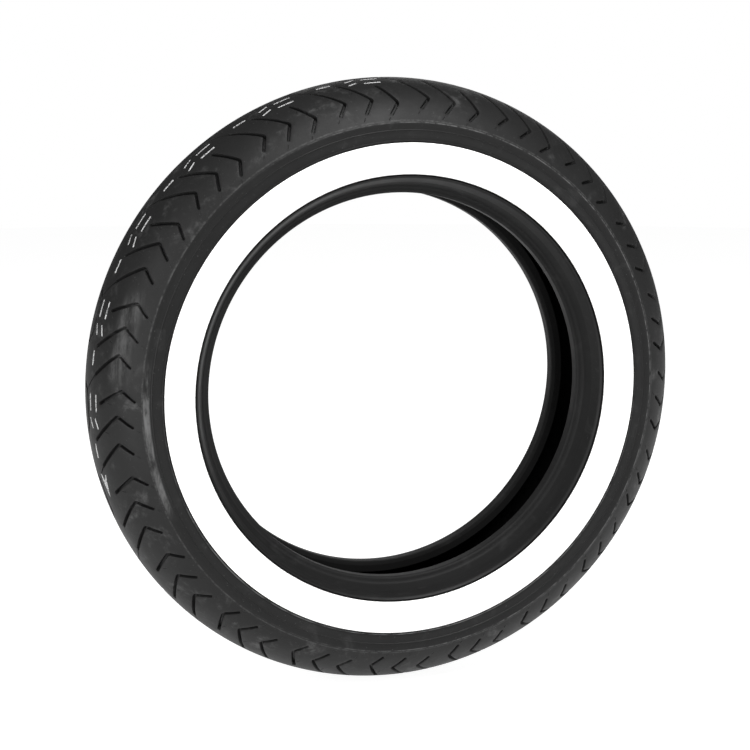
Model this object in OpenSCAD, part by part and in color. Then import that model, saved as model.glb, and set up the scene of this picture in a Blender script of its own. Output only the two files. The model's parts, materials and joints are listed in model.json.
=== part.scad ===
// Motorcycle tire for a 16 inch rim: rubber, cord plies, cord belts and bead wires as separate rings.
// The wheel axis runs along Y through the origin, and Z points up. The right side of the tire faces -Y.

/* [Tire] */
// Outer diameter over the middle of the tread
outer_d = 640; // [638:1:642]
// Section width at the widest point of the sidewalls
section_w = 144; // [143:1:146]
// Width from one tread edge to the other
tread_w = 140; // [138:1:142]
// Radius of the tread's crown, from side to side
crown_r = 78; // [76:1:80]
// Diameter of the bead seats, that of a 16 inch rim
bead_seat_d = 405.6; // [405.4:0.1:405.8]
// Width from one bead heel to the other
heel_w = 82; // [81:0.5:83]

/* [Tread] */
// Depth of the tread rubber at the middle of the crown, and of the grooves there
tread_depth = 6.5; // [6:0.5:7]
// Number of times the set of three grooves repeats around the tire
groove_sets = 21; // [18:1:21]
// Width of a slanted groove
groove_w = 3.6; // [2.5:0.1:4.5]
// Width of the groove that runs round the middle of the tread
centre_groove_w = 4; // [3:0.5:5]
// Depth of the groove that runs round the middle of the tread
centre_groove_depth = 4.8; // [3:0.1:5]
// Distance by which that groove swings from the middle to either side
centre_groove_swing = 7.5; // [5:0.5:9]
// Turn about the axle from the +X direction to the first groove's corner, in degrees
first_groove_turn = 5.7; // [0:0.1:17]

/* [Rubber and cord layers] */
// Thickness of the tread base rubber
base_t = 2.5; // [2:0.1:2.5]
// Thickness of the nylon cap ply
cap_ply_t = 0.8; // [0.6:0.1:1]
// Thickness of one belt
belt_t = 1.3; // [1:0.1:1.4]
// Thickness of one body ply
ply_t = 1; // [0.8:0.1:1]
// Thickness of the inner liner
liner_t = 1.2; // [1:0.1:1.5]
// Thickness of the sidewall rubber at its middle
sidewall_t = 4.5; // [4:0.1:5]
// Thickness of the chafer under the bead
chafer_t = 1.4; // [1.2:0.1:1.5]

/* [White band] */
// Radius of the white band's inner edge
band_inner_r = 223; // [222:0.5:226]
// Radius of the white band's outer edge
band_outer_r = 255; // [248:0.5:256]
// Depth to which the white rubber is let into the sidewall
band_depth = 2; // [1:0.1:2.5]
// Height by which the white rubber stands proud of the sidewall
band_proud = 0.5; // [0.2:0.1:0.5]

/* [Beads] */
// Diameter of one bead wire
wire_d = 1.2; // [1:0.05:1.25]
// Distance from one bead wire to the next
wire_pitch = 1.4; // [1.35:0.01:1.45]
// Thickness of the fabric wrap round the bead bundle
wrap_t = 0.4; // [0.3:0.05:0.4]

/* [Hidden] */
$fn = 180;

// Sides: the cross-section is drawn for the right side, and mirrored for the left one.
right = 1;
left = -1;

// Grooves of one set: turn of the corner, its angle across the crown, then for the end nearer the middle
// and the end nearer the shoulder, the turn past the corner and the angle across the crown, in degrees.
groove_set = [
    [0, 47.5, 2.9, 26.5, 1.9, 57.5],
    [5, 43, 4.9, 17, 2.1, 55],
    [10.4, 42, 4.4, 19.5, 2, 52.5]
];
groove_aim = 30;
groove_reach = 19;
crossing_turn = 0.3;

// Heights of the layers above the outer face of the body plies.
belt_top = 2 * belt_t;
cap_ply_top = belt_top + cap_ply_t;
base_top = cap_ply_top + base_t;
plies_t = 2 * ply_t;

// Crown of the tread: an arc across the tire.
outer_r = outer_d / 2;
crown_c = [outer_r - crown_r, 0];
edge_a = asin(tread_w / 2 / crown_r);
tread_edge = polar(crown_c, crown_r, edge_a);

// Outer face of the sidewall: one arc, widest at side_c's radius.
side_r = 55;
side_c = [247, section_w / 2 - side_r];
band_inner_a = acos((band_inner_r - side_c[0]) / side_r);
band_outer_a = acos((band_outer_r - side_c[0]) / side_r);
buttress_a = band_outer_a - 2.5;
bend_a = band_inner_a + 1;

// Outer face of the body plies: crown arc, sidewall arc and bead arc, each tangent to the next.
ply_top_r = outer_r - tread_depth - base_top;
ply_side_r = side_r - sidewall_t;
ply_rise = side_c[0] - ply_top_r;
ply_crown_r = (pow(ply_side_r, 2) - pow(ply_rise, 2) - pow(side_c[1], 2)) / (2 * (ply_rise + ply_side_r));
ply_crown_c = [ply_top_r - ply_crown_r, 0];
shoulder_a = atan2(side_c[1], side_c[0] - ply_crown_c[0]);
ply_bead_r = 16;
ply_bend_a = 112;
ply_bead_c = polar(side_c, ply_side_r - ply_bead_r, ply_bend_a);

// Bead bundle: a square of wires in a fabric wrap, with the plies turned up round it.
seat_r = bead_seat_d / 2;
heel_y = heel_w / 2;
wires = 4;
bundle = wires * wire_pitch;
bundle_r = seat_r + chafer_t + plies_t + wrap_t;
bundle_y = heel_y - chafer_t - plies_t - wrap_t - bundle;
core_low = bundle_r - wrap_t;
core_high = bundle_r + bundle + wrap_t;
core_in = bundle_y - wrap_t;
core_out = bundle_y + bundle + wrap_t;

// Straight run of the plies from the bead arc to the top of the bead bundle.
core_from_arc = [core_high, core_in] - ply_bead_c;
ply_bead_a = 360 + atan2(core_from_arc[1], core_from_arc[0]) - acos(ply_bead_r / norm(core_from_arc));
ply_bead_end = polar(ply_bead_c, ply_bead_r, ply_bead_a);
filler_tip = [core_high, core_in] * 0.35 + ply_bead_end * 0.65;
turn_up_end = [core_high, core_out] * 0.08 + filler_tip * 0.92;

// Outer face between the white band and the heel: a bend outwards, a slope, then a hollow for the flange.
bend_r = 8;
bend_c = polar(side_c, side_r - bend_r, bend_a);
hollow_r = 4.5;
hollow_c = [seat_r + 3.7, heel_y + hollow_r];
slope_run = hollow_c - bend_c;
slope_a = 360 + atan2(slope_run[1], slope_run[0]) - acos((bend_r + hollow_r) / norm(slope_run));
slope_low = polar(hollow_c, -hollow_r, slope_a);
slope_high = polar(bend_c, bend_r, slope_a);
chafer_top = (slope_low + slope_high) / 2;
heel_r = 3;

// Steps along the arcs, and the places along the ply line that the layers share.
crown_steps = 14;
side_steps = 14;
bead_steps = 6;
at_belt_edge = crown_steps - 2;
at_shoulder = crown_steps;
at_core_top = crown_steps + side_steps + bead_steps + 1;
at_turn_up_end = at_core_top + 4;

ply_line = concat(
    arc(ply_crown_c, ply_crown_r, 0, shoulder_a, crown_steps),
    tail(arc(side_c, ply_side_r, shoulder_a, ply_bend_a, side_steps)),
    tail(arc(ply_bead_c, ply_bead_r, ply_bend_a, ply_bead_a, bead_steps)),
    [[core_high, core_in], [core_low, core_in], [core_low, core_out], [core_high, core_out], turn_up_end]
);
full_line = concat(turned_back(other_side(ply_line)), tail(ply_line));
middle = len(ply_line) - 1;

// Points are [distance from the axle, distance across the tire].
function polar(c, r, a) = [c[0] + r * cos(a), c[1] + r * sin(a)];
function arc(c, r, from, to, steps) = [for (i = [0:steps]) polar(c, r, from + (to - from) * i / steps)];
function tail(points) = [for (i = [1:len(points) - 1]) points[i]];
function turned_back(points) = [for (i = [len(points) - 1:-1:0]) points[i]];
function other_side(points) = [for (p = points) [p[0], -p[1]]];
function slice(points, from, to) = [for (i = [from:to]) points[i]];
function outward(a, b) = [b[1] - a[1], a[0] - b[0]] / norm(b - a);

// A line moved sideways by d, with sharp corners kept sharp.
function moved(points, d) = [
    for (i = [0:len(points) - 1])
        let (
            before = outward(points[max(i - 1, 0)], points[max(i, 1)]),
            last = len(points) - 1,
            after = outward(points[min(i, last - 1)], points[min(i + 1, last)]),
            both = (before + after) / norm(before + after)
        )
        points[i] + both * d / (both * before)
];

// A layer from height low to height high, over both sides out to a place on the ply line.
function layer(low, high, reach) = concat(
    slice(moved(full_line, high), middle - reach, middle + reach),
    turned_back(slice(moved(full_line, low), middle - reach, middle + reach))
);

// One height along the right side of the ply line, from one place to another.
function height_line(d, from, to) = slice(moved(full_line, d), middle + from, middle + to);

// A ring about the axle from an outline on the right side, placed on either side.
module ring(outline, side = right) {
    rotate([90, 0, 0])
        rotate_extrude()
            polygon(side == right ? outline : other_side(outline));
}

// Outline of one groove, flat, looking at the tread from outside.
function groove_point(across, turn, side) = [
    -side * crown_r * sin(across - groove_aim),
    (crown_c[0] + crown_r * cos(across)) * turn * PI / 180
];

module groove(g, side) {
    line = [
        groove_point(g[3], g[2], side),
        groove_point(g[1], 0, side),
        groove_point(g[5], g[4], side)
    ];
    both_edges = concat(moved(line, groove_w / 2), turned_back(moved(line, -groove_w / 2)));
    rotate([0, 0, g[0]])
        translate([crown_c[0], 0, 0])
            rotate([0, -side * groove_aim, 0])
                translate([crown_r - groove_reach, 0, 0])
                    rotate([0, 90, 0])
                        linear_extrude(height = groove_reach + 3)
                            polygon(both_edges);
}

module grooves() {
    rotate([90, 0, 0])
        for (side = [right, left], i = [0:groove_sets - 1], g = groove_set)
            rotate([0, 0, first_groove_turn + (i + (side == right ? 0 : 0.5)) * 360 / groove_sets])
                groove(g, side);
}

// Groove round the middle, in pieces half a set long: each goes along one side, then crosses over and goes
// along the other side. Every other piece is a hair wider, so that no two of their walls lie in one plane.
module centre_groove() {
    half_set = 180 / groove_sets;
    reach = outer_r * tan(half_set / 2) + 1;
    crossing = centre_groove_swing * 0.87;
    line = [
        [-centre_groove_swing, -reach],
        [-centre_groove_swing, -crossing],
        [centre_groove_swing, crossing],
        [centre_groove_swing, reach]
    ];
    rotate([90, 0, 0])
        for (i = [1:2 * groove_sets])
            rotate([0, 0, first_groove_turn + crossing_turn + i * half_set])
                translate([outer_r - centre_groove_depth, 0, 0])
                    rotate([0, 90, 0])
                        linear_extrude(height = centre_groove_depth + 3)
                            bent_strip(line, centre_groove_w + (i % 2) * 0.06, i % 2 == 1 ? right : left);
}

// Strip of even width along a bent line.
module bent_strip(line, width, side) {
    both_edges = concat(moved(line, width / 2), turned_back(moved(line, -width / 2)));
    polygon([for (p = both_edges) [side * p[0], p[1]]]);
}

// Wearing rubber, with the slanted grooves on both sides and the swinging one in the middle.
module tread_cap() {
    color("#2f2f30")
        difference() {
            ring(concat(
                arc(crown_c, crown_r, -edge_a, edge_a, 2 * crown_steps + 4),
                turned_back(slice(moved(full_line, base_top), middle - at_shoulder, middle + at_shoulder))
            ));
            grooves();
            centre_groove();
        }
}

module tread_base() {
    color("#262626") ring(layer(cap_ply_top, base_top, at_shoulder));
}

module cap_ply() {
    color("#8d7f68") ring(layer(belt_top, cap_ply_top, at_belt_edge));
}

module belt_outer() {
    color("#9a7b45") ring(layer(belt_t, belt_top, at_belt_edge));
}

module belt_inner() {
    color("#a98a52") ring(layer(0, belt_t, at_belt_edge));
}

module body_ply_outer() {
    color("#5a5348") ring(layer(-ply_t, 0, at_turn_up_end));
}

module body_ply_inner() {
    color("#655d50") ring(layer(-plies_t, -ply_t, at_turn_up_end));
}

// Air-tight skin of the cavity, ending on the inner side of each bead.
liner_end_r = seat_r + 5.2;
liner_outside = concat(
    height_line(-plies_t, 0, at_core_top),
    [[liner_end_r, core_in - plies_t]]
);
liner_inside = concat(
    height_line(-plies_t - liner_t, 0, at_core_top),
    [[liner_end_r, core_in - plies_t - liner_t]]
);
module inner_liner() {
    color("#1c1c1c")
        ring(concat(
            turned_back(other_side(liner_outside)), tail(liner_outside),
            turned_back(liner_inside), tail(other_side(liner_inside))
        ));
}

// Foot of the tread wing, on the line from the white band to the tread edge.
buttress = polar(side_c, side_r, buttress_a);
wing_foot = buttress * 0.7 + tread_edge * 0.3;
cap_corner = height_line(base_top, at_shoulder, at_shoulder)[0];

module tread_wing(side) {
    color("#2a2a2a") ring([wing_foot, tread_edge, cap_corner], side);
}

// Soft wedge beyond the belt edges.
module belt_cushion(side) {
    color("#242424")
        ring(concat(
            height_line(cap_ply_top, at_belt_edge, at_shoulder),
            turned_back(height_line(0, at_belt_edge, at_shoulder))
        ), side);
}

// Black rubber from the chafer to the tread, with the recess of the white band.
side_low = arc(bend_c, bend_r, slope_a, bend_a, 8);
band_seat = arc(side_c, side_r - band_depth, band_inner_a, band_outer_a, 12);
module sidewall(side) {
    turn_up_edge = [turn_up_end, height_line(-plies_t, at_turn_up_end, at_turn_up_end)[0]];
    color("#2b2b2b")
        ring(concat(
            [chafer_top], side_low,
            [polar(side_c, side_r, band_inner_a)], band_seat,
            arc(side_c, side_r, band_outer_a, buttress_a, 1),
            [wing_foot, cap_corner],
            height_line(0, at_shoulder, at_core_top - 1),
            [filler_tip], turn_up_edge
        ), side);
}

module white_band(side) {
    color("#f4f4f2")
        ring(concat(
            band_seat,
            arc(side_c, side_r + band_proud, band_outer_a, band_inner_a, 12)
        ), side);
}

// Hard rubber wedge between the plies and their turn-up.
module bead_filler(side) {
    color("#1f1f1f") ring([[core_high, core_in], filler_tip, turn_up_end, [core_high, core_out]], side);
}

module wire_spots(side) {
    for (i = [0:wires - 1], j = [0:wires - 1])
        translate([bundle_r + (i + 0.5) * wire_pitch, side * (bundle_y + (j + 0.5) * wire_pitch)])
            circle(d = wire_d, $fn = 24);
}

module bundle_square(margin, side) {
    low_y = bundle_y - margin;
    high_y = bundle_y + bundle + margin;
    translate([bundle_r - margin, side == right ? low_y : -high_y])
        square([bundle + 2 * margin, high_y - low_y]);
}

// Steel hoops of one bead, each a closed ring.
module bead_wires(side) {
    color("#b58a4a") rotate([90, 0, 0]) rotate_extrude() wire_spots(side);
}

module bead_rubber(side) {
    color("#202020")
        rotate([90, 0, 0])
            rotate_extrude()
                difference() {
                    bundle_square(0, side);
                    wire_spots(side);
                }
}

module bead_wrap(side) {
    color("#6b6459")
        rotate([90, 0, 0])
            rotate_extrude()
                difference() {
                    bundle_square(wrap_t, side);
                    bundle_square(0, side);
                }
}

// Rim strip: the seat, the rounded heel and the flange face.
module chafer(side) {
    toe_y = core_in - plies_t;
    under_plies = height_line(-plies_t, at_core_top + 1, at_turn_up_end);
    color("#232323")
        ring(concat(
            [[seat_r, toe_y]],
            arc([seat_r + heel_r, heel_y - heel_r], heel_r, 180, 90, 6),
            arc(hollow_c, hollow_r, -90, slope_a - 180, 6),
            [chafer_top],
            turned_back(tail(under_plies)),
            [[seat_r + chafer_t, toe_y]]
        ), side);
}

// Thin strip that closes the toe, between the chafer and the liner.
module toe_strip(side) {
    toe_y = core_in - plies_t;
    color("#272727")
        ring([
            [seat_r, toe_y], [liner_end_r, toe_y],
            [liner_end_r, toe_y - liner_t], [seat_r + 1, toe_y - liner_t]
        ], side);
}

tread_cap();
tread_base();
cap_ply();
belt_outer();
belt_inner();
body_ply_outer();
body_ply_inner();
inner_liner();
tread_wing(left);  // tread_wing_left
tread_wing(right);  // tread_wing_right
belt_cushion(left);  // belt_cushion_left
belt_cushion(right);  // belt_cushion_right
sidewall(left);  // sidewall_left
sidewall(right);  // sidewall_right
white_band(left);  // white_band_left
white_band(right);  // white_band_right
bead_filler(left);  // bead_filler_left
bead_filler(right);  // bead_filler_right
bead_wires(left);  // bead_wires_left
bead_wires(right);  // bead_wires_right
bead_rubber(left);  // bead_rubber_left
bead_rubber(right);  // bead_rubber_right
bead_wrap(left);  // bead_wrap_left
bead_wrap(right);  // bead_wrap_right
chafer(left);  // chafer_left
chafer(right);  // chafer_right
toe_strip(left);  // toe_strip_left
toe_strip(right);  // toe_strip_right
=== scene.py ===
# Looks of a motorcycle tire: moulded tread, shoulders, white bands, beads and cavity, on a pale floor.
# The wheel axis is Y, the tire's right side faces -Y, and a turn is measured about the axle from +X to +Z.
import json
from math import acos, asin, atan2, ceil, cos, degrees, hypot, radians, sin

import bmesh
import bpy
import numpy as np
from mathutils import Matrix, Vector
from mathutils.geometry import delaunay_2d_cdt


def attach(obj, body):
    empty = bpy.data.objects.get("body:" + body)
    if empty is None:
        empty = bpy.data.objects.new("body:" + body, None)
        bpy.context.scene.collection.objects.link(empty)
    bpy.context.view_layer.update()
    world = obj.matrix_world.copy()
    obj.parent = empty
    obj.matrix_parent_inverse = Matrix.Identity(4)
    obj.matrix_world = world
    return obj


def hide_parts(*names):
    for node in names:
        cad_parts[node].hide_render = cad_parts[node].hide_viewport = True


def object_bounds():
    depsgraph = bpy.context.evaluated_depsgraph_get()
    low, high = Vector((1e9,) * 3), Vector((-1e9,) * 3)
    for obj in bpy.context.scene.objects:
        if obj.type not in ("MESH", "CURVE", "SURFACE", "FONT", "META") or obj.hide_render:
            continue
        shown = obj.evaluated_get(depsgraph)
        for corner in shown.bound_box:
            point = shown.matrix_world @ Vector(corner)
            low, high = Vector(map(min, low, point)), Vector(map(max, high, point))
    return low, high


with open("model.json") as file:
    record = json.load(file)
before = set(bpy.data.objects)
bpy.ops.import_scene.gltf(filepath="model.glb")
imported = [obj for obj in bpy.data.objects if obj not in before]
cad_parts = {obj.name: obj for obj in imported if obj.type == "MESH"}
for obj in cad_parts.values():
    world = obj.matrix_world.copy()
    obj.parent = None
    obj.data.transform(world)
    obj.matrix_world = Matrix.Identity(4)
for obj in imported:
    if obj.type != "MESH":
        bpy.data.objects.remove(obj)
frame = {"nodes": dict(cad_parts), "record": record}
cad_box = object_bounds()

MM = 0.001
RIGHT, LEFT = 1, -1

# ---------------------------------------------------------------- Tire dimensions (metres and degrees)
OUTER_R = 320 * MM
CROWN_R = 78 * MM
TREAD_HALF_W = 70 * MM
CROWN_CENTRE = (OUTER_R - CROWN_R, 0.0)
EDGE_ANGLE = degrees(asin(TREAD_HALF_W / CROWN_R))
CAP_UNDER_R = 75.757 * MM
CAP_UNDER_CENTRE = (237.743 * MM, 0.0)

SIDE_R = 55 * MM
SIDE_CENTRE = (247 * MM, 17 * MM)
SIDE_RUBBER = 4.5 * MM
BAND_INNER_R = 223 * MM
BAND_OUTER_R = 255 * MM
BAND_DEPTH = 2 * MM
BAND_PROUD = 0.5 * MM

SEAT_R = 202.8 * MM
HEEL_ACROSS = 41 * MM
HEEL_R = 3 * MM
HOLLOW_R = 4.5 * MM
BEND_R = 8 * MM
TOE_ACROSS = 29.2 * MM
LINER_END_R = 208 * MM
LINER_T = 1.2 * MM

# Grooves of one set: turn and across angle of the corner, of the end nearer the middle,
# and of the end nearer the shoulder.
GROOVE_SETS = 21
SET_TURN = 360 / GROOVE_SETS
FIRST_TURN = 5.7
GROOVES = [
    [(0.0, 47.5), (2.9, 26.0), (1.9, 57.5)],
    [(5.0, 43.0), (9.9, 17.0), (7.1, 55.0)],
    [(10.4, 42.0), (14.85, 19.5), (12.4, 52.5)],
]
GROOVE_HALF_W = 1.75 * MM
GROOVE_CORNER = 2.6 * MM
GROOVE_FLOOR_RUBBER = 1.0 * MM

# Groove round the middle: it swings from side to side once a set,
# and a fine cut joins it to the long groove.
WAVE_HALF_W = 1.9 * MM
WAVE_DEPTH = 4.8 * MM
WAVE_ANGLE = 5.5
WAVE_CROSSING = 17.4
WAVE_CROSSING_TURN = 3.4
CUT_HALF_W = 0.45 * MM
CUT_DEPTH = 2.2 * MM

# Shallow marks across the land behind the grooves: turn and across angle of their middles.
TICKS = [(2.6, 36.0), (8.2, 32.0)]
TICK_REACH = 1.8
TICK_HALF_W = 0.3 * MM
TICK_DEPTH = 0.35 * MM

# Painted bars of one set: turn and across angle of both ends, and half width. The arrow ends them.
MARK_HEIGHT = 0.12 * MM
MARK_ROOT = -0.2 * MM
MARK_STEPS = 6
MARKED_SETS = (5, 11)
MARKS = [
    (1.5, 11.5, 4.7, 11.5, 1.0 * MM),
    (1.5, 20.5, 4.7, 20.5, 1.0 * MM),
    (6.0, 10.0, 7.9, 13.5, 0.9 * MM),
    (6.0, 18.0, 7.9, 21.5, 0.9 * MM),
    (10.8, 13.5, 13.5, 13.5, 1.2 * MM),
]
ARROW = [(193.8, 15.0), (198.2, 15.0)]
ARROW_HALF_WIDTHS = (6 * MM, 0.3 * MM)

# ---------------------------------------------------------------- Outlines: points are (radius, across)


def polar(centre, r, angle):
    return (centre[0] + r * cos(radians(angle)), centre[1] + r * sin(radians(angle)))


def arc(centre, r, start, end, steps):
    return [polar(centre, r, start + (end - start) * i / steps) for i in range(steps + 1)]


def between(a, b, share):
    return (a[0] + (b[0] - a[0]) * share, a[1] + (b[1] - a[1]) * share)


def side_angle(radius):
    """Angle on the sidewall's arc at a distance from the axle."""
    return degrees(acos((radius - SIDE_CENTRE[0]) / SIDE_R))


BAND_INNER_A = side_angle(BAND_INNER_R)
BAND_OUTER_A = side_angle(BAND_OUTER_R)
BEND_A = BAND_INNER_A + 1
BEND_CENTRE = polar(SIDE_CENTRE, SIDE_R - BEND_R, BEND_A)
HOLLOW_CENTRE = (SEAT_R + 3.7 * MM, HEEL_ACROSS + HOLLOW_R)
SLOPE_RUN = (HOLLOW_CENTRE[0] - BEND_CENTRE[0], HOLLOW_CENTRE[1] - BEND_CENTRE[1])
SLOPE_A = 360 + degrees(atan2(SLOPE_RUN[1], SLOPE_RUN[0]) - acos((BEND_R + HOLLOW_R) / hypot(*SLOPE_RUN)))
SLOPE_LOW = polar(HOLLOW_CENTRE, -HOLLOW_R, SLOPE_A)
SLOPE_HIGH = polar(BEND_CENTRE, BEND_R, SLOPE_A)
CHAFER_TOP = between(SLOPE_LOW, SLOPE_HIGH, 0.5)

# ---------------------------------------------------------------- Mesh helpers

SHARP_ANGLE = 32
RING_STEPS = 360
WELD_REACH = 0.02 * MM


def place(turn, radius, across):
    """A point of the tire in the frame, with across growing towards the right side."""
    return (radius * np.cos(turn), -across, radius * np.sin(turn))


def finished_piece(name, verts, faces, material, replaced=()):
    mesh = bpy.data.meshes.new(name)
    mesh.from_pydata(verts, [], faces)
    mesh.validate()
    piece = bpy.data.objects.new(name, mesh)
    bpy.context.scene.collection.objects.link(piece)
    mesh.shade_smooth()
    mesh.set_sharp_from_angle(angle=radians(SHARP_ANGLE))
    mesh.materials.append(material)
    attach(piece, "root")
    if replaced:
        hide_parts(*replaced)
    return piece


def turned_ring(outline, side):
    """Vertices and faces of a closed outline turned about the axle."""
    count = len(outline)
    turns = [radians(360 * k / RING_STEPS) for k in range(RING_STEPS)]
    verts = [place(turn, radius, side * across) for turn in turns for radius, across in outline]
    faces = []
    for k in range(RING_STEPS):
        here, there = k * count, (k + 1) % RING_STEPS * count
        for i in range(count):
            j = (i + 1) % count
            quad = (here + i, here + j, there + j, there + i)
            faces.append(quad if side == RIGHT else quad[::-1])
    return verts, faces


def ring_piece(name, outline, side, material, replaced):
    verts, faces = turned_ring(outline, side)
    return finished_piece(name, verts, faces, material, replaced)


# ---------------------------------------------------------------- Tread: one set of grooves, laid flat

# Turns are laid flat at a radius of 300 mm.
TURN_TO_FLAT = radians(1) * 300 * MM
ACROSS_TO_FLAT = radians(1) * CROWN_R
EDGE_FLAT = EDGE_ANGLE * ACROSS_TO_FLAT
EDGE_STEPS = 12
WAVE_STEPS = 20
WAVE_MARGIN = 3 * MM
STROKE_STEP = 2.5 * MM
LAND_SPACING = 4 * MM
LAND_MARGIN = 2 * MM
SAME_POINT = 1e-7

# The join between two sets: turn and across angle of its bend, its slope on each side of the bend,
# and the number of its points between the middle groove and the tread edge.
JOIN_TURN, JOIN_ACROSS = 12.9, 42
JOIN_SLOPES = (0.2, 0.19)
JOIN_ROWS = 22

# Triangles without width lie along the straight join. They are dropped when twice their area
# is below this, and only within this distance of the join.
SMALLEST_FACE = 2e-10
JOIN_REACH = 0.01 * MM


def flat(turn, across):
    return np.array([turn * TURN_TO_FLAT, across * ACROSS_TO_FLAT])


def join_turn(across):
    """Where one set of grooves meets the next, between the long groove and the next set's first one."""
    if across < JOIN_ACROSS:
        return JOIN_TURN + JOIN_SLOPES[0] * (JOIN_ACROSS - across)
    return JOIN_TURN + JOIN_SLOPES[1] * (across - JOIN_ACROSS)


def left_normal(direction):
    return np.array([-direction[1], direction[0]])


def offset_side(line, half, sign):
    """One side of a bent line at a distance: sharp inside the bend, round outside it."""
    runs = [(b - a) / np.linalg.norm(b - a) for a, b in zip(line, line[1:])]
    normals = [left_normal(run) * sign for run in runs]
    points = [line[0] + half * normals[0]]
    for i in range(1, len(line) - 1):
        before, after = normals[i - 1], normals[i]
        outside = (runs[i - 1][0] * runs[i][1] - runs[i - 1][1] * runs[i][0]) * sign < 0
        if outside:
            for share in np.linspace(0, 1, 6):
                mixed = before * (1 - share) + after * share
                points.append(line[i] + half * mixed / np.linalg.norm(mixed))
        else:
            points.append(line[i] + half * (before + after) / (1 + before @ after))
    points.append(line[-1] + half * normals[-1])
    return points


def round_end(centre, start, half):
    """Points of a half circle about a line's end, clockwise from the start normal, without its ends."""
    angle = atan2(start[1], start[0])
    bearings = [angle - radians(a) for a in (36, 72, 108, 144)]
    return [centre + half * np.array([cos(bearing), sin(bearing)]) for bearing in bearings]


def stroke_outline(line, half, step):
    """Closed outline at one distance round a bent line, with no run longer than step."""
    first = (line[1] - line[0]) / np.linalg.norm(line[1] - line[0])
    last = (line[-1] - line[-2]) / np.linalg.norm(line[-1] - line[-2])
    corners = offset_side(line, half, 1)
    corners += round_end(line[-1], left_normal(last), half)
    corners += offset_side(line, half, -1)[::-1]
    corners += round_end(line[0], -left_normal(first), half)
    points = []
    for a, b in zip(corners, corners[1:] + corners[:1]):
        parts = max(1, ceil(np.linalg.norm(b - a) / step))
        points += [a + (b - a) * i / parts for i in range(parts)]
    return points


def distance_to(points, line):
    """Distance of each flat point from a bent line."""
    nearest = np.full(len(points), np.inf)
    for a, b in zip(line, line[1:]):
        run = b - a
        share = np.clip((points - a) @ run / (run @ run), 0, 1)
        nearest = np.minimum(nearest, np.linalg.norm(points - a - share[:, None] * run, axis=1))
    return nearest


def cap_thickness(across):
    """Thickness of the wearing rubber at an across angle."""
    radius = CROWN_CENTRE[0] + CROWN_R * np.cos(np.radians(across)) - CAP_UNDER_CENTRE[0]
    return np.hypot(radius, CROWN_R * np.sin(np.radians(across))) - CAP_UNDER_R


# Section of a groove: distance outside its edge, and share of its depth.
GROOVE_SECTION = [
    (0.5 * MM, 0.0), (0.15 * MM, 0.025), (-0.05 * MM, 0.11), (-0.45 * MM, 0.9), (-0.8 * MM, 1.0),
]
FINE_SECTION = [(0.25 * MM, 0.0), (-0.25 * MM, 1.0)]


def section_share(distance, half, section):
    places = [half + offset for offset, _ in section][::-1]
    shares = [share for _, share in section][::-1]
    return np.interp(distance, places, shares)


def rounded_corner(line, reach):
    """A line of three points whose corner is replaced by a short curve."""
    before, corner, after = line
    start = corner + (before - corner) / np.linalg.norm(before - corner) * reach
    end = corner + (after - corner) / np.linalg.norm(after - corner) * reach
    curve = [start * (1 - t) ** 2 + corner * 2 * t * (1 - t) + end * t ** 2 for t in np.linspace(0, 1, 6)]
    return [before] + curve + [after]


def wave_across(turn):
    """Across angle of the middle groove: level along each side, with a smooth crossing between."""
    phase = (turn - WAVE_CROSSING) % SET_TURN
    sign = 1 if phase < SET_TURN / 2 else -1
    past = phase % (SET_TURN / 2)
    to_crossing = min(past, SET_TURN / 2 - past)
    return sign * WAVE_ANGLE * sin(radians(180) * min(to_crossing / WAVE_CROSSING_TURN, 0.5))


def groove_strokes():
    """Every cut of one set: its line, half width, depth at an across angle, and section."""
    strokes = []
    for corner, inner, outer in GROOVES:
        line = rounded_corner([flat(*inner), flat(*corner), flat(*outer)], GROOVE_CORNER)
        strokes.append((line, GROOVE_HALF_W, groove_full_depth, GROOVE_SECTION))
        past = [flat(*between(corner, outer, 1.3)), flat(*between(corner, outer, 1.5))]
        strokes.append((past, TICK_HALF_W, tick_depth, FINE_SECTION))
    for turn, across in TICKS:
        tick = [flat(turn, across - TICK_REACH), flat(turn + 0.15, across + TICK_REACH)]
        strokes.append((tick, TICK_HALF_W, tick_depth, FINE_SECTION))
    corner, inner, _ = GROOVES[2]
    meeting = WAVE_CROSSING + WAVE_CROSSING_TURN * 0.35
    cut = [flat(*inner), flat(meeting, wave_across(meeting) - 1.5)]
    strokes.append((cut, CUT_HALF_W, cut_depth, FINE_SECTION))
    return strokes


def groove_full_depth(across):
    return cap_thickness(across) - GROOVE_FLOOR_RUBBER


def tick_depth(across):
    return np.full_like(across, TICK_DEPTH)


def cut_depth(across):
    return np.full_like(across, CUT_DEPTH)


def wave_line():
    """Middle line of the middle groove, reaching well past both ends of the set."""
    step = SET_TURN / 2 / WAVE_STEPS
    turns = [WAVE_CROSSING + step * i for i in range(-3 * WAVE_STEPS, 2 * WAVE_STEPS)]
    return [flat(turn, wave_across(turn)) for turn in turns]


def wave_edges(line, half):
    """Both edges of the middle groove at one distance from its middle line."""
    runs = [b - a for a, b in zip(line[:-2], line[2:])]
    normals = [left_normal(run / np.linalg.norm(run)) for run in runs]
    return [[p + n * half * sign for p, n in zip(line[1:-1], normals)] for sign in (1, -1)]


def on_join(y):
    return np.array([join_turn(y / ACROSS_TO_FLAT) * TURN_TO_FLAT, y])


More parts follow.
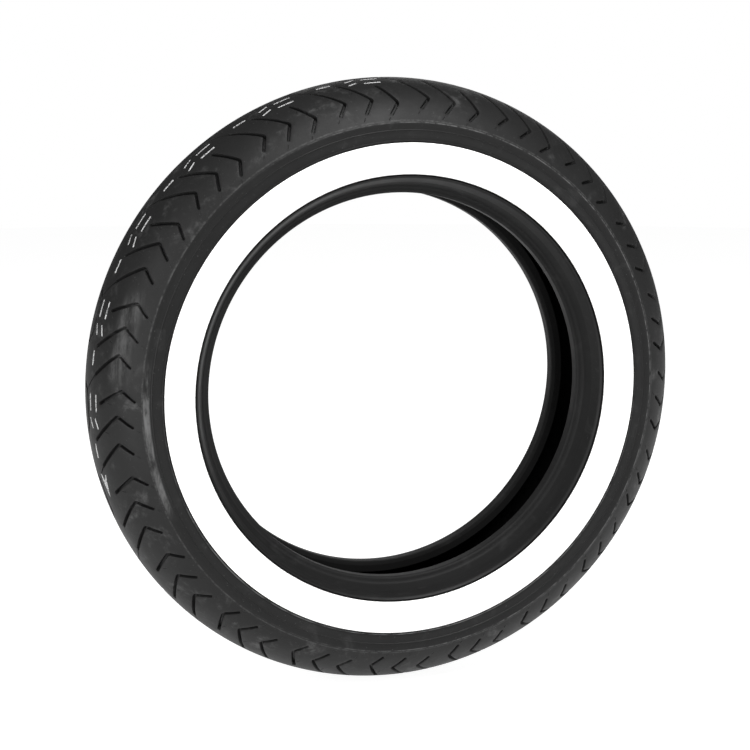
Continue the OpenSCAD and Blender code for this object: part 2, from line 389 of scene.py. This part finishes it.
def set_mesh():
    """Flat points, depths and triangles of one set, from the middle of the tread to its edge."""
    points, edges = [], []

    def add_line(new_points, closed):
        start = len(points)
        points.extend(new_points)
        count = len(new_points)
        edges.extend((start + i, start + (i + 1) % count) for i in range(count if closed else count - 1))

    strokes, wave = groove_strokes(), wave_line()
    wave_y = WAVE_ANGLE * ACROSS_TO_FLAT
    wave_rows = [wave_y + sign * (WAVE_HALF_W + offset) for sign in (1, -1) for offset, _ in GROOVE_SECTION]
    past_wave = wave_y + WAVE_HALF_W + WAVE_MARGIN
    rows = sorted([0.0] + wave_rows + list(np.linspace(past_wave, EDGE_FLAT, JOIN_ROWS)))
    near_join = [on_join(y) for y in rows]
    shift = np.array([SET_TURN * TURN_TO_FLAT, 0.0])
    edge_row = [near_join[-1] - shift * i / EDGE_STEPS for i in range(1, EDGE_STEPS)]
    middle_row = [near_join[0] - shift * (1 - i / EDGE_STEPS) for i in range(1, EDGE_STEPS)]
    outline = near_join + edge_row + [p - shift for p in near_join[::-1]] + middle_row
    add_line(outline, closed=True)
    for offset, _ in GROOVE_SECTION:
        for edge in wave_edges(wave, WAVE_HALF_W + offset):
            add_line(edge, closed=False)
    for line, half, _, section in strokes:
        for offset, _ in section:
            add_line(stroke_outline(line, half + offset, STROKE_STEP), closed=True)

    for j in range(1, int(EDGE_FLAT / LAND_SPACING)):
        y = j * LAND_SPACING
        start = on_join(y)[0]
        for i in range(1, int(shift[0] / LAND_SPACING)):
            spot = np.array([[start - (i + 0.5 * (j % 2)) * LAND_SPACING, y]])
            clear = min(distance_to(spot, line)[0] - half for line, half, _, _ in strokes)
            clear = min(clear, distance_to(spot, wave)[0] - WAVE_HALF_W)
            if clear > LAND_MARGIN and spot[0][0] > start - shift[0] + LAND_MARGIN:
                points.append(spot[0])

    flat_points = [Vector(p) for p in points]
    result = delaunay_2d_cdt(flat_points, edges, [list(range(len(outline)))], 0, SAME_POINT)
    found = np.array([list(v) for v in result[0]])
    triangles = np.array([list(f) for f in result[2]])
    centres = found[triangles].mean(axis=1)
    ends = np.array([on_join(y)[0] for y in rows])
    right_end = np.interp(centres[:, 1], rows, ends)
    kept = (centres[:, 1] > 0) & (centres[:, 0] < right_end) & (centres[:, 0] > right_end - shift[0])
    one = found[triangles[:, 1]] - found[triangles[:, 0]]
    two = found[triangles[:, 2]] - found[triangles[:, 0]]
    double_area = np.abs(one[:, 0] * two[:, 1] - one[:, 1] * two[:, 0])
    from_right, from_left = centres[:, 0] - right_end, centres[:, 0] - right_end + shift[0]
    from_join = np.minimum(np.abs(from_right), np.abs(from_left))
    kept &= (double_area > SMALLEST_FACE) | (from_join > JOIN_REACH)
    triangles = triangles[kept]
    used, triangles = np.unique(triangles, return_inverse=True)
    found = found[used]
    across = found[:, 1] / ACROSS_TO_FLAT
    depth = WAVE_DEPTH * section_share(distance_to(found, wave), WAVE_HALF_W, GROOVE_SECTION)
    for line, half, full_depth, section in strokes:
        share = section_share(distance_to(found, line), half, section)
        depth = np.maximum(depth, full_depth(across) * share)
    return found, depth, triangles.reshape(-1, 3)


def tread_piece(material):
    flat_points, depth, triangles = set_mesh()
    turn = np.radians(flat_points[:, 0] / TURN_TO_FLAT)
    across_angle = np.radians(flat_points[:, 1] / ACROSS_TO_FLAT)
    radius = CROWN_CENTRE[0] + (CROWN_R - depth) * np.cos(across_angle)
    across = (CROWN_R - depth) * np.sin(across_angle)
    verts, faces = [], []
    for i in range(GROOVE_SETS):
        for side in (RIGHT, LEFT):
            start = radians(FIRST_TURN + (i + (0 if side == RIGHT else 0.5)) * SET_TURN)
            base = len(verts)
            x, y, z = place(turn + start, radius, side * across)
            verts += list(zip(x, y, z))
            order = triangles if side == RIGHT else triangles[:, ::-1]
            faces += [tuple(face) for face in (order + base).tolist()]

    # Underside, with its columns at the same turns as the tread edge's points.
    columns = GROOVE_SETS * EDGE_STEPS
    under_angle = degrees(asin(CAP_CORNER[1] / CAP_UNDER_R))
    under = arc(CAP_UNDER_CENTRE, CAP_UNDER_R, -under_angle, under_angle, 20)
    edge = polar(CROWN_CENTRE, CROWN_R, EDGE_ANGLE)
    section = [(edge[0], -edge[1])] + under + [edge]
    base = len(verts)
    start = FIRST_TURN + join_turn(EDGE_ANGLE)
    for k in range(columns):
        angle = radians(start + 360 * k / columns)
        verts += [place(angle, r, s) for r, s in section]
    count = len(section)
    for k in range(columns):
        here, there = base + k * count, base + (k + 1) % columns * count
        faces += [(here + i, there + i, there + i + 1, here + i + 1) for i in range(count - 1)]
    piece = finished_piece("tread", verts, faces, material, ["tread_cap"])
    weld(piece)
    return piece


def mark_bar(start, end, start_half, end_half):
    """Closed thin slab on the crown along a flat line, with its own half width at each end."""
    run = (end - start) / np.linalg.norm(end - start)
    verts, faces = [], []
    for i in range(MARK_STEPS + 1):
        share = i / MARK_STEPS
        half = start_half + (end_half - start_half) * share
        for sign in (1, -1):
            spot = start + (end - start) * share + left_normal(run) * half * sign
            turn, across = radians(spot[0] / TURN_TO_FLAT), radians(spot[1] / ACROSS_TO_FLAT)
            for height in (MARK_HEIGHT, MARK_ROOT):
                radius = CROWN_CENTRE[0] + (CROWN_R + height) * cos(across)
                verts.append(place(turn, radius, (CROWN_R + height) * sin(across)))
    for i in range(MARK_STEPS):
        a, b = 4 * i, 4 * i + 4
        faces += [(a, b, b + 2, a + 2), (a + 1, a + 3, b + 3, b + 1)]
        faces += [(a, a + 1, b + 1, b), (a + 2, b + 2, b + 3, a + 3)]
    last = 4 * MARK_STEPS
    return verts, faces + [(0, 2, 3, 1), (last, last + 1, last + 3, last + 2)]


def tread_marks(material):
    """Plain painted bars on the lands near the middle, and an arrow for the rolling direction."""
    verts, faces = [], []
    for number in range(*MARKED_SETS):
        start_turn = FIRST_TURN + number * SET_TURN
        for turn, across, end_turn, end_across, half in MARKS:
            start = flat(start_turn + turn, across)
            end = flat(start_turn + end_turn, end_across)
            bar_verts, bar_faces = mark_bar(start, end, half, half)
            faces += [tuple(len(verts) + i for i in face) for face in bar_faces]
            verts += bar_verts
    bar_verts, bar_faces = mark_bar(flat(*ARROW[0]), flat(*ARROW[1]), *ARROW_HALF_WIDTHS)
    faces += [tuple(len(verts) + i for i in face) for face in bar_faces]
    verts += bar_verts
    return finished_piece("tread_marks", verts, faces, material)


def weld(piece):
    """Joins points that lie on each other, and turns every face outwards."""
    work = bmesh.new()
    work.from_mesh(piece.data)
    bmesh.ops.remove_doubles(work, verts=work.verts, dist=WELD_REACH)
    bmesh.ops.recalc_face_normals(work, faces=work.faces)
    work.to_mesh(piece.data)
    work.free()
    piece.data.shade_smooth()
    piece.data.set_sharp_from_angle(angle=radians(SHARP_ANGLE))


# ---------------------------------------------------------------- Outlines of the turned pieces (right side)

TREAD_EDGE = polar(CROWN_CENTRE, CROWN_R, EDGE_ANGLE)
CREST_R = 9 * MM
WING_FOOT = (263.1 * MM, 70.7 * MM)
CAP_CORNER = (273.97 * MM, 66.54 * MM)
CHAFER_BACK = (216.2 * MM, 44.9 * MM)


def shoulder_outline():
    """From the tread edge over a rounded crest, then a shallow hollow with a low rib in it."""
    crest_centre = polar(TREAD_EDGE, -CREST_R, EDGE_ANGLE)
    crest = arc(crest_centre, CREST_R, EDGE_ANGLE, 94, 10)
    end_r, end_s = crest[-1]
    foot_r, foot_s = WING_FOOT
    hollow = []
    steps = ((0.3, -0.25), (0.42, -0.35), (0.47, 0.0), (0.55, 0.0), (0.6, -0.35), (0.8, -0.25))
    for share, height in steps:
        hollow.append((end_r + (foot_r - end_r) * share, end_s + (foot_s - end_s) * share + height * MM))
    return crest + hollow + [WING_FOOT, CAP_CORNER]


def band_outline():
    """White rubber: the recess behind, then the outer face with rounded borders."""
    seat = arc(SIDE_CENTRE, SIDE_R - BAND_DEPTH, BAND_OUTER_A, BAND_INNER_A, 12)
    face = arc(SIDE_CENTRE, SIDE_R + BAND_PROUD, BAND_INNER_A - 0.5, BAND_OUTER_A + 0.5, 24)
    low = [polar(SIDE_CENTRE, SIDE_R + BAND_PROUD * 0.55, BAND_INNER_A - 0.1)]
    high = [polar(SIDE_CENTRE, SIDE_R + BAND_PROUD * 0.55, BAND_OUTER_A + 0.1)]
    return seat + low + face + high


def sidewall_outline():
    """Black rubber round the white band: the bend below it, its recess, and the ribs above it."""
    bend = arc(BEND_CENTRE, BEND_R, SLOPE_A, BEND_A + 6, 12)
    moat = [polar(SIDE_CENTRE, SIDE_R - 0.15 * MM, BAND_INNER_A + 2.3),
            polar(SIDE_CENTRE, SIDE_R - 0.8 * MM, BAND_INNER_A + 1.9),
            polar(SIDE_CENTRE, SIDE_R - 2.1 * MM, BAND_INNER_A + 1.5),
            polar(SIDE_CENTRE, SIDE_R - 2.1 * MM, BAND_INNER_A)]
    seat = arc(SIDE_CENTRE, SIDE_R - BAND_DEPTH, BAND_INNER_A, BAND_OUTER_A, 12)
    steps = ((0, -1.7), (0.9, -1.7), (1.2, -0.2), (1.5, 0.5), (2.1, 0.6), (2.6, 0.3), (3.1, -0.25))
    lip = [polar(SIDE_CENTRE, SIDE_R + height * MM, BAND_OUTER_A - angle) for angle, height in steps]
    inside = arc(SIDE_CENTRE, SIDE_R - SIDE_RUBBER, 61.4, 112, 14)
    outside = [CHAFER_TOP] + bend + moat + seat + lip
    return outside + [WING_FOOT, CAP_CORNER] + inside + [CHAFER_BACK]


def chafer_outline():
    """Rim strip: seat, rounded heel, hollow for the rim flange and the slope above it."""
    seat = [(SEAT_R, TOE_ACROSS + 1 * MM), (SEAT_R, HEEL_ACROSS - HEEL_R - 3 * MM)]
    heel = arc((SEAT_R + HEEL_R, HEEL_ACROSS - HEEL_R), HEEL_R, 180, 90, 8)
    hollow = arc(HOLLOW_CENTRE, HOLLOW_R, -90, SLOPE_A - 180, 8)
    slope = [between(SLOPE_LOW, CHAFER_TOP, 0.35)]
    rim_line = [between(SLOPE_LOW, CHAFER_TOP, 0.7)]
    inside = [CHAFER_BACK, (204.3 * MM, 38 * MM), (SEAT_R + 1.4 * MM, TOE_ACROSS + 1 * MM)]
    return seat + heel + hollow + slope + rim_line + [CHAFER_TOP] + inside


def toe_outline():
    """Toe of the bead, rounded where it meets the cavity."""
    toe = arc((SEAT_R + 1.2 * MM, TOE_ACROSS), 1.2 * MM, 270, 180, 5)
    back = [(LINER_END_R, TOE_ACROSS - LINER_T), (LINER_END_R, TOE_ACROSS + 1 * MM)]
    return [(SEAT_R, TOE_ACROSS + 1 * MM)] + toe[::-1] + back


# Radius of the rib's top above the white band.
BAND_RIB_R = polar(SIDE_CENTRE, SIDE_R, BAND_OUTER_A - 2.0)[0]

# ---------------------------------------------------------------- Materials


class Recipe:
    """A material's nodes, built from short calls."""

    def __init__(self, name):
        self.material = bpy.data.materials.new(name)
        self.material.use_nodes = True
        self.tree = self.material.node_tree
        self.shader = self.tree.nodes["Principled BSDF"]

    def node(self, kind, inputs=None, **settings):
        made = self.tree.nodes.new(kind)
        for key, value in settings.items():
            setattr(made, key, value)
        for key, value in (inputs or {}).items():
            self.feed(made.inputs[key], value)
        return made

    def feed(self, socket, value):
        if isinstance(value, bpy.types.NodeSocket):
            self.tree.links.new(value, socket)
        else:
            socket.default_value = value

    def math(self, operation, a, b=0.0):
        return self.node("ShaderNodeMath", {0: a, 1: b}, operation=operation).outputs[0]

    def position(self):
        return self.node("ShaderNodeTexCoord").outputs["Object"]

    def noise(self, scale, detail=4.0, roughness=0.55, vector=None, distortion=0.0):
        inputs = {"Vector": vector or self.position(), "Scale": scale, "Detail": detail,
                  "Roughness": roughness, "Distortion": distortion}
        return self.node("ShaderNodeTexNoise", inputs).outputs["Fac"]

    def window(self, value, low, high):
        """0 below low, 1 above high, smooth between."""
        made = self.node("ShaderNodeMapRange", {"Value": value, "From Min": low, "From Max": high},
                         interpolation_type="SMOOTHSTEP")
        return made.outputs["Result"]

    def mix(self, share, a, b):
        made = self.node("ShaderNodeMix", data_type="RGBA")
        self.feed(made.inputs["Factor"], share)
        self.feed(made.inputs["A"], a)
        self.feed(made.inputs["B"], b)
        return made.outputs["Result"]

    def radius_and_across(self):
        """Distance from the axle, and distance from the tire's middle plane, of the shaded point."""
        parts = self.node("ShaderNodeSeparateXYZ", {"Vector": self.position()}).outputs
        flat_length = self.math("SQRT", self.math("ADD", self.math("MULTIPLY", parts["X"], parts["X"]),
                                                  self.math("MULTIPLY", parts["Z"], parts["Z"])))
        return flat_length, self.math("ABSOLUTE", parts["Y"])

    def bump(self, height, distance, normal=None):
        inputs = {"Height": height, "Distance": distance, "Strength": 1.0}
        made = self.node("ShaderNodeBump", inputs)
        if normal is not None:
            self.feed(made.inputs["Normal"], normal)
        return made.outputs["Normal"]

    def finish(self, colour, roughness, normal, specular=0.5, metallic=0.0):
        self.feed(self.shader.inputs["Base Color"], colour)
        self.feed(self.shader.inputs["Roughness"], roughness)
        self.feed(self.shader.inputs["Normal"], normal)
        self.shader.inputs["Specular IOR Level"].default_value = specular
        self.shader.inputs["Metallic"].default_value = metallic
        return self.material


def grey(value, warm=0.0):
    return (value * (1 + warm), value, value * (1 - warm), 1.0)


def scuff_and_sheen_line(recipe, value, middle, half, noise_scale):
    """A narrow line broken by noise: 1 on the line where the noise lets it through, 0 away from it. It draws
    wear, and on the shoulder and rib also a painted highlight.
    """
    away = recipe.math("ABSOLUTE", recipe.math("SUBTRACT", value, middle))
    near = recipe.math("SUBTRACT", 1.0, recipe.window(away, half * 0.4, half))
    return recipe.math("MULTIPLY", near, recipe.window(recipe.noise(noise_scale, 5, 0.7), 0.35, 0.65))


def inside(recipe, value, low, high, fade):
    """1 between two limits, fading to 0 outside them."""
    above = recipe.window(value, low - fade, low)
    below = recipe.math("SUBTRACT", 1.0, recipe.window(value, high, high + fade))
    return recipe.math("MULTIPLY", above, below)


def streak_patch(recipe, value, limits, heights, fade):
    """A streaky place on the -X side of the tire: within limits of a value, and between two heights. On the
    shoulder crest it is a painted highlight.
    """
    spot = recipe.node("ShaderNodeSeparateXYZ", {"Vector": recipe.position()}).outputs
    rear = recipe.math("SUBTRACT", 1.0, recipe.window(spot["X"], -0.15, -0.1))
    within, level = inside(recipe, value, *limits, fade), inside(recipe, spot["Z"], *heights, 0.03)
    area = recipe.math("MULTIPLY", within, level)
    inputs = {0: recipe.position(), 1: (1, 1, 0.25)}
    stretched = recipe.node("ShaderNodeVectorMath", inputs, operation="MULTIPLY")
    streaks = recipe.window(recipe.noise(110, 5, 0.65, stretched.outputs[0]), 0.36, 0.66)
    return recipe.math("MULTIPLY", recipe.math("MULTIPLY", area, rear), streaks)


def tread_rubber():
    recipe = Recipe("tread_rubber")
    base = recipe.mix(recipe.noise(9, 5, 0.6), grey(0.007), grey(0.013))
    smudge = recipe.window(recipe.noise(20, 5, 0.65, distortion=0.6), 0.5, 0.66)
    streak = recipe.window(recipe.noise(70, 5, 0.7), 0.45, 0.7)
    scuff = recipe.math("MULTIPLY", recipe.math("MULTIPLY", smudge, streak), 0.8)
    colour = recipe.mix(scuff, base, grey(0.06))
    speck = recipe.window(recipe.noise(520, 2, 0.5), 0.70, 0.76)
    colour = recipe.mix(recipe.math("MULTIPLY", speck, 0.3), colour, grey(0.10))
    _, across = recipe.radius_and_across()
    line = scuff_and_sheen_line(recipe, across, TREAD_EDGE[1] - 0.3 * MM, 0.7 * MM, 240)
    colour = recipe.mix(recipe.math("MULTIPLY", line, 0.35), colour, grey(0.085))
    # Lighter streaks near the tread edge, high on the -X side of the tire.
    minus_x_streaks = streak_patch(recipe, across, (0.050, 0.057), (0.04, 0.09), 0.008)
    colour = recipe.mix(recipe.math("MULTIPLY", minus_x_streaks, 0.8), colour, grey(0.065))
    roughness = recipe.math("ADD", 0.40, recipe.math("MULTIPLY", recipe.noise(34, 5, 0.6), 0.26))
    grain = recipe.bump(recipe.noise(1500, 3, 0.6), 0.06 * MM)
    normal = recipe.bump(recipe.noise(160, 4, 0.6), 0.10 * MM, grain)
    return recipe.finish(colour, roughness, normal, specular=0.17)


def sidewall_rubber():
    recipe = Recipe("sidewall_rubber")
    base = recipe.mix(recipe.noise(14, 5, 0.6), grey(0.006), grey(0.012))
    blotch = recipe.window(recipe.noise(38, 4, 0.6, distortion=0.8), 0.56, 0.74)
    colour = recipe.mix(recipe.math("MULTIPLY", blotch, 0.5), base, grey(0.026))
    speck = recipe.window(recipe.noise(560, 2, 0.5), 0.70, 0.76)
    colour = recipe.mix(recipe.math("MULTIPLY", speck, 0.3), colour, grey(0.12))
    radius, _ = recipe.radius_and_across()
    spot = recipe.node("ShaderNodeSeparateXYZ", {"Vector": recipe.position()}).outputs
    # Lighter broken line along the mould line: wear, made stronger towards +X as a painted highlight.
    mould_line = scuff_and_sheen_line(recipe, radius, TREAD_EDGE[0] - 1.2 * MM, 0.8 * MM, 150)
    sheen_towards_plus_x = recipe.math("MULTIPLY", recipe.window(spot["X"], -0.22, 0.1), 0.65)
    colour = recipe.mix(recipe.math("MULTIPLY", mould_line, sheen_towards_plus_x), colour, grey(0.12))
    # Lighter broken line on the rib above the white band, only low on the tire: wear, and also a painted
    # highlight.
    rib_line = scuff_and_sheen_line(recipe, radius, BAND_RIB_R, 0.8 * MM, 60)
    low = recipe.math("SUBTRACT", 1.0, recipe.window(spot["Z"], -0.2, 0.05))
    colour = recipe.mix(recipe.math("MULTIPLY", rib_line, low), colour, grey(0.09))
    # Painted shade: the narrow recess at the inner edge of the white band is painted nearly black.
    moat_painted_shade = inside(recipe, radius, BAND_INNER_R - 1.8 * MM, BAND_INNER_R + 0.2 * MM, 0.4 * MM)
    colour = recipe.mix(recipe.math("MULTIPLY", moat_painted_shade, 0.9), colour, grey(0.001))
    # Painted highlight: lighter streaks on the shoulder crest, on the -X side of the tire near the axle's
    # height.
    crest_highlight_limits = (TREAD_EDGE[0] - 5 * MM, TREAD_EDGE[0] - 1.5 * MM)
    crest = streak_patch(recipe, radius, crest_highlight_limits, (-0.09, 0.02), 2.5 * MM)
    colour = recipe.mix(recipe.math("MULTIPLY", crest, 0.9), colour, grey(0.11))
    roughness = recipe.math("ADD", 0.36, recipe.math("MULTIPLY", recipe.noise(45, 5, 0.6), 0.22))
    grain = recipe.bump(recipe.noise(1300, 3, 0.6), 0.05 * MM)
    normal = recipe.bump(recipe.noise(110, 4, 0.55), 0.12 * MM, grain)
    return recipe.finish(colour, roughness, normal, specular=0.16)


def white_rubber():
    recipe = Recipe("white_rubber")
    colour = recipe.mix(recipe.noise(22, 5, 0.6), grey(0.93, 0.003), grey(0.98, 0.003))
    radius, _ = recipe.radius_and_across()
    middle = (BAND_INNER_R + BAND_OUTER_R) / 2
    half = (BAND_OUTER_R - BAND_INNER_R) / 2
    from_middle = recipe.math("ABSOLUTE", recipe.math("SUBTRACT", radius, middle))
    border = recipe.window(from_middle, half - 1.0 * MM, half + 0.2 * MM)
    dirt = recipe.math("MULTIPLY", border, recipe.window(recipe.noise(70, 5, 0.65), 0.35, 0.7))
    colour = recipe.mix(recipe.math("MULTIPLY", dirt, 0.5), colour, grey(0.45, 0.02))
    roughness = recipe.math("ADD", 0.42, recipe.math("MULTIPLY", recipe.noise(60, 4, 0.6), 0.18))
    grain = recipe.bump(recipe.noise(900, 3, 0.6), 0.03 * MM)
    return recipe.finish(colour, roughness, grain, specular=0.4)


def mark_paint():
    """White paint that has come off in small patches."""
    recipe = Recipe("mark_paint")
    worn = recipe.window(recipe.noise(600, 4, 0.7), 0.38, 0.52)
    fresh = recipe.mix(recipe.noise(200, 3, 0.5), grey(0.30), grey(0.62))
    colour = recipe.mix(worn, grey(0.03), fresh)
    roughness = recipe.math("ADD", 0.5, recipe.math("MULTIPLY", recipe.noise(300, 3, 0.5), 0.2))
    return recipe.finish(colour, roughness, recipe.bump(recipe.noise(1400, 3, 0.6), 0.04 * MM), specular=0.2)


def bead_rubber():
    recipe = Recipe("bead_rubber")
    base = recipe.mix(recipe.noise(18, 4, 0.6), grey(0.009), grey(0.014))
    smear = recipe.window(recipe.noise(30, 4, 0.6, distortion=0.5), 0.55, 0.75)
    colour = recipe.mix(recipe.math("MULTIPLY", smear, 0.4), base, grey(0.03))
    roughness = recipe.math("ADD", 0.45, recipe.math("MULTIPLY", recipe.noise(50, 4, 0.6), 0.2))
    grain = recipe.bump(recipe.noise(1100, 3, 0.6), 0.04 * MM)
    return recipe.finish(colour, roughness, grain, specular=0.1)


def liner_rubber():
    recipe = Recipe("liner_rubber")
    colour = recipe.mix(recipe.noise(20, 5, 0.6), grey(0.0025), grey(0.0045))
    roughness = recipe.math("ADD", 0.6, recipe.math("MULTIPLY", recipe.noise(45, 4, 0.6), 0.2))
    grain = recipe.bump(recipe.noise(700, 4, 0.6), 0.08 * MM)
    return recipe.finish(colour, roughness, grain, specular=0.15)


def corded(name, rubber, cord, pitch, lean):
    """Rubber-coated cords that lean across the tire by a share of their length."""
    recipe = Recipe(name)
    parts = recipe.node("ShaderNodeSeparateXYZ", {"Vector": recipe.position()}).outputs
    turn = recipe.math("MULTIPLY", recipe.math("ARCTAN2", parts["Z"], parts["X"]), OUTER_R)
    along = recipe.math("ADD", turn, recipe.math("MULTIPLY", parts["Y"], lean))
    stripe = recipe.math("SINE", recipe.math("MULTIPLY", along, 6.2832 / pitch))
    height = recipe.math("ADD", recipe.math("MULTIPLY", stripe, 0.5), 0.5)
    worn = recipe.math("MULTIPLY", height, recipe.window(recipe.noise(40, 4, 0.6), 0.3, 0.7))
    colour = recipe.mix(worn, rubber, cord)
    roughness = recipe.math("ADD", 0.5, recipe.math("MULTIPLY", recipe.noise(80, 4, 0.6), 0.3))
    normal = recipe.bump(height, 0.25 * MM)
    return recipe.finish(colour, roughness, normal, specular=0.3)


def bead_wire():
    recipe = Recipe("bead_wire")
    colour = recipe.mix(recipe.noise(90, 4, 0.6), (0.42, 0.29, 0.15, 1), (0.60, 0.45, 0.26, 1))
    roughness = recipe.math("ADD", 0.25, recipe.math("MULTIPLY", recipe.noise(200, 3, 0.6), 0.2))
    grain = recipe.bump(recipe.noise(2500, 2, 0.5), 0.02 * MM)
    return recipe.finish(colour, roughness, grain, metallic=1.0)


def floor_paint():
    recipe = Recipe("floor_paint")
    colour = recipe.mix(recipe.noise(3, 3, 0.5), grey(0.34), grey(0.36))
    grain = recipe.bump(recipe.noise(400, 2, 0.5), 0.02 * MM)
    recipe.shader.inputs["Emission Color"].default_value = (1, 1, 1, 1)
    recipe.shader.inputs["Emission Strength"].default_value = 0.93
    roughness = recipe.math("ADD", 0.65, recipe.math("MULTIPLY", recipe.noise(30, 3, 0.5), 0.1))
    return recipe.finish(colour, roughness, grain, specular=0.1)


MATERIALS = {
    "tread_rubber": tread_rubber(),
    "sidewall_rubber": sidewall_rubber(),
    "white_rubber": white_rubber(),
    "bead_rubber": bead_rubber(),
    "liner_rubber": liner_rubber(),
    "ply_cord": corded("ply_cord", grey(0.03), grey(0.12, 0.15), 1.4 * MM, 2.2),
    "belt_cord": corded("belt_cord", grey(0.04), grey(0.26, 0.3), 1.2 * MM, 0.45),
    "bead_wire": bead_wire(),
}

# ---------------------------------------------------------------- Pieces

tread_piece(MATERIALS["tread_rubber"])
tread_marks(mark_paint())
for side_name, side in (("right", RIGHT), ("left", LEFT)):
    ring_piece("shoulder_" + side_name, shoulder_outline(), side, MATERIALS["sidewall_rubber"],
               ["tread_wing_" + side_name])
    ring_piece("side_rubber_" + side_name, sidewall_outline(), side, MATERIALS["sidewall_rubber"],
               ["sidewall_" + side_name])
    ring_piece("whitewall_" + side_name, band_outline(), side, MATERIALS["white_rubber"],
               ["white_band_" + side_name])
    ring_piece("rim_strip_" + side_name, chafer_outline(), side, MATERIALS["bead_rubber"],
               ["chafer_" + side_name])
    ring_piece("toe_" + side_name, toe_outline(), side, MATERIALS["bead_rubber"],
               ["toe_strip_" + side_name])

for subpart in frame["record"]["subparts"]:
    node = frame["nodes"][subpart["node"]]
    node.data.materials.clear()
    node.data.materials.append(MATERIALS[subpart["material_slot"]])

# ---------------------------------------------------------------- Floor, light and camera


def floor_piece():
    """A wide round floor under the tire."""
    rings, columns, radius = 8, 64, 6.0
    verts = [(0.0, 0.0, cad_box[0].z)]
    for j in range(1, rings + 1):
        for i in range(columns):
            turn = radians(360 * i / columns)
            verts.append((radius * j / rings * cos(turn), radius * j / rings * sin(turn), cad_box[0].z))
    faces = [(0, 1 + i, 1 + (i + 1) % columns) for i in range(columns)]
    for j in range(rings - 1):
        here, there = 1 + j * columns, 1 + (j + 1) * columns
        for i in range(columns):
            after = (i + 1) % columns
            faces.append((here + i, there + i, there + after, here + after))
    mesh = bpy.data.meshes.new("floor")
    mesh.from_pydata(verts, [], faces)
    floor = bpy.data.objects.new("floor", mesh)
    bpy.context.scene.collection.objects.link(floor)
    mesh.materials.append(floor_paint())


def soft_light(name, place_at, aim, size, power):
    light = bpy.data.lights.new(name, "AREA")
    light.shape = "DISK"
    light.size = size
    light.energy = power
    lamp = bpy.data.objects.new(name, light)
    bpy.context.scene.collection.objects.link(lamp)
    lamp.location = place_at
    lamp.rotation_euler = (Vector(aim) - Vector(place_at)).to_track_quat("-Z", "Y").to_euler()


def studio():
    world = bpy.data.worlds.new("studio")
    world.use_nodes = True
    nodes, links = world.node_tree.nodes, world.node_tree.links
    seen = nodes["Background"]
    seen.inputs["Color"].default_value = (1, 1, 1, 1)
    seen.inputs["Strength"].default_value = 1.0
    lit = nodes.new("ShaderNodeBackground")
    lit.inputs["Color"].default_value = (1, 1, 1, 1)
    lit.inputs["Strength"].default_value = ROOM_LIGHT
    path = nodes.new("ShaderNodeLightPath")
    both = nodes.new("ShaderNodeMixShader")
    links.new(path.outputs["Is Camera Ray"], both.inputs[0])
    links.new(lit.outputs[0], both.inputs[1])
    links.new(seen.outputs[0], both.inputs[2])
    links.new(both.outputs[0], nodes["World Output"].inputs["Surface"])
    bpy.context.scene.world = world
    for light in LIGHTS:
        soft_light(*light)
    bpy.context.scene.view_settings.view_transform = "Standard"
    bpy.context.scene.view_settings.look = "None"


ROOM_LIGHT = 0.11
LIGHTS = [
    ("left_light", (-2.0, -1.1, 0.9), (0, 0, 0), 1.2, 18),
    ("low_left_light", (-1.45, -0.85, -0.12), (-0.2, 0, -0.05), 0.4, 8),
    ("right_light", (2.0, -1.8, 0.6), (0, 0, 0), 1.4, 17),
    ("top_light", (0.3, -1.4, 2.2), (0, 0, -0.1), 1.6, 88),
    ("back_light", (0.9, 2.2, 0.8), (0, 0, 0), 1.4, 7),
]
CAMERA_AZIMUTH = radians(-18.45)
CAMERA_ELEVATION = radians(9.27)
CAMERA_DISTANCE = 1.985
CAMERA_RIGHT = -12 * MM
CAMERA_UP = 6.9 * MM
CAMERA_LENS = 89.6


def camera():
    level = cos(CAMERA_ELEVATION)
    back = Vector((sin(CAMERA_AZIMUTH) * level, -cos(CAMERA_AZIMUTH) * level, sin(CAMERA_ELEVATION)))
    right = Vector((cos(CAMERA_AZIMUTH), sin(CAMERA_AZIMUTH), 0))
    up = back.cross(right)
    data = bpy.data.cameras.new("camera")
    data.lens = CAMERA_LENS
    data.sensor_width = 36
    data.clip_end = 100
    eye = bpy.data.objects.new("camera", data)
    bpy.context.scene.collection.objects.link(eye)
    turn = Matrix((right, up, back)).transposed()
    place_at = right * CAMERA_RIGHT + up * CAMERA_UP + back * CAMERA_DISTANCE
    eye.matrix_world = Matrix.Translation(place_at) @ turn.to_4x4()
    bpy.context.scene.camera = eye


floor_piece()
studio()
camera()
